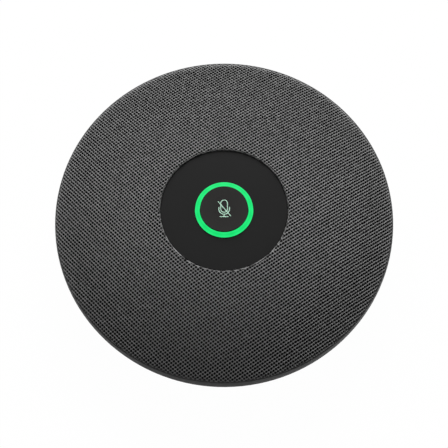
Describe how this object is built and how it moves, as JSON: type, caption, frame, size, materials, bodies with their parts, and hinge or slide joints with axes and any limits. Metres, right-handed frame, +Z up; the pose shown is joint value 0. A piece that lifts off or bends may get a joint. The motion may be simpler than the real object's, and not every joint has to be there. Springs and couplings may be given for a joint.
{
  "type": "conference speakerphone",
  "caption": "Round, low speakerphone with a knitted domed top, a mute key in a light ring at its centre, ports at the rear and a rubber foot.",
  "frame": {"origin": "centre of the rubber foot's underside, on the table", "axes": "+Z up along the puck's axis, +Y to the rear where the port and side buttons are, -Y to the front"},
  "size_m": [0.124, 0.124, 0.0255],
  "materials": {
    "shell_plastic": "moulded, fine spark texture",
    "rim_plastic": "satin moulded band",
    "foot_rubber": "soft matt",
    "frame_plastic": "moulded, plain",
    "knit": "open charcoal spacer knit",
    "panel_plastic": "satin dark panel",
    "key_plastic": "satin dark key",
    "light_guide": "frosted clear guide, lit green",
    "board_laminate": "solder mask",
    "chip_black": "moulded package",
    "led_lens": "lamp lens",
    "steel": "plated steel",
    "ferrite": "sintered ferrite",
    "coil_copper": "enamelled winding on its former",
    "cone_paper": "pressed pulp",
    "soft_rubber": "thin butyl",
    "spider_cloth": "resin dipped cloth",
    "foam": "closed cell foam",
    "cell_foil": "wrapped cell",
    "contact_metal": "drawn shell"
  },
  "bodies": {
    "housing": {"bottom_shell": "shell_plastic", "foot_ring": "foot_rubber", "rim_ring": "rim_plastic", "speaker_baffle": "frame_plastic", "grille_frame": "frame_plastic", "fabric_cover": "knit", "top_panel": "panel_plastic", "light_ring": "light_guide", "control_board": "board_laminate", "status_leds": "led_lens", "mute_switch": "steel", "speaker_frame": "steel", "speaker_gasket": "foam", "top_plate": "steel", "magnet": "ferrite", "yoke": "steel", "surround": "soft_rubber", "spider": "spider_cloth", "main_board": "board_laminate", "board_chips": "chip_black", "battery_pad": "foam", "battery": "cell_foil", "mic_board": "board_laminate", "microphones": "contact_metal", "mic_gaskets": "soft_rubber", "port_socket": "contact_metal", "port_tongue": "chip_black", "power_switch": "steel", "pairing_switch": "steel", "case_screws": "steel", "board_screws": "steel", "speaker_screws": "steel", "control_screws": "steel"},
    "mute_key": {"mute_key": "key_plastic", "mute_plunger": "key_plastic"},
    "cone": {"speaker_cone": "cone_paper", "voice_coil": "coil_copper", "dust_cap": "cone_paper"},
    "power_button": {"power_button": "rim_plastic", "power_plunger": "key_plastic"},
    "pairing_button": {"pairing_button": "rim_plastic", "pairing_plunger": "key_plastic"}
  },
  "joints": [
    {"name": "mute_press", "type": "slide", "parent": "housing", "child": "mute_key", "axis": [0, 0, -1], "range_m": [0, 0.00045], "stiffness_N_per_m": 3000, "springref_m": -0.0002},
    {"name": "cone_travel", "type": "slide", "parent": "housing", "child": "cone", "axis": [0, 0, 1], "range_m": [-0.0006, 0.0006], "stiffness_N_per_m": 1500, "deforming": ["surround", "spider"]},
    {"name": "power_press", "type": "slide", "parent": "housing", "child": "power_button", "axis": [-0.4695, -0.8829, 0], "range_m": [0, 0.0004], "stiffness_N_per_m": 3000, "springref_m": -0.0002},
    {"name": "pairing_press", "type": "slide", "parent": "housing", "child": "pairing_button", "axis": [0.4695, -0.8829, 0], "range_m": [0, 0.0004], "stiffness_N_per_m": 3000, "springref_m": -0.0002}
  ]
}
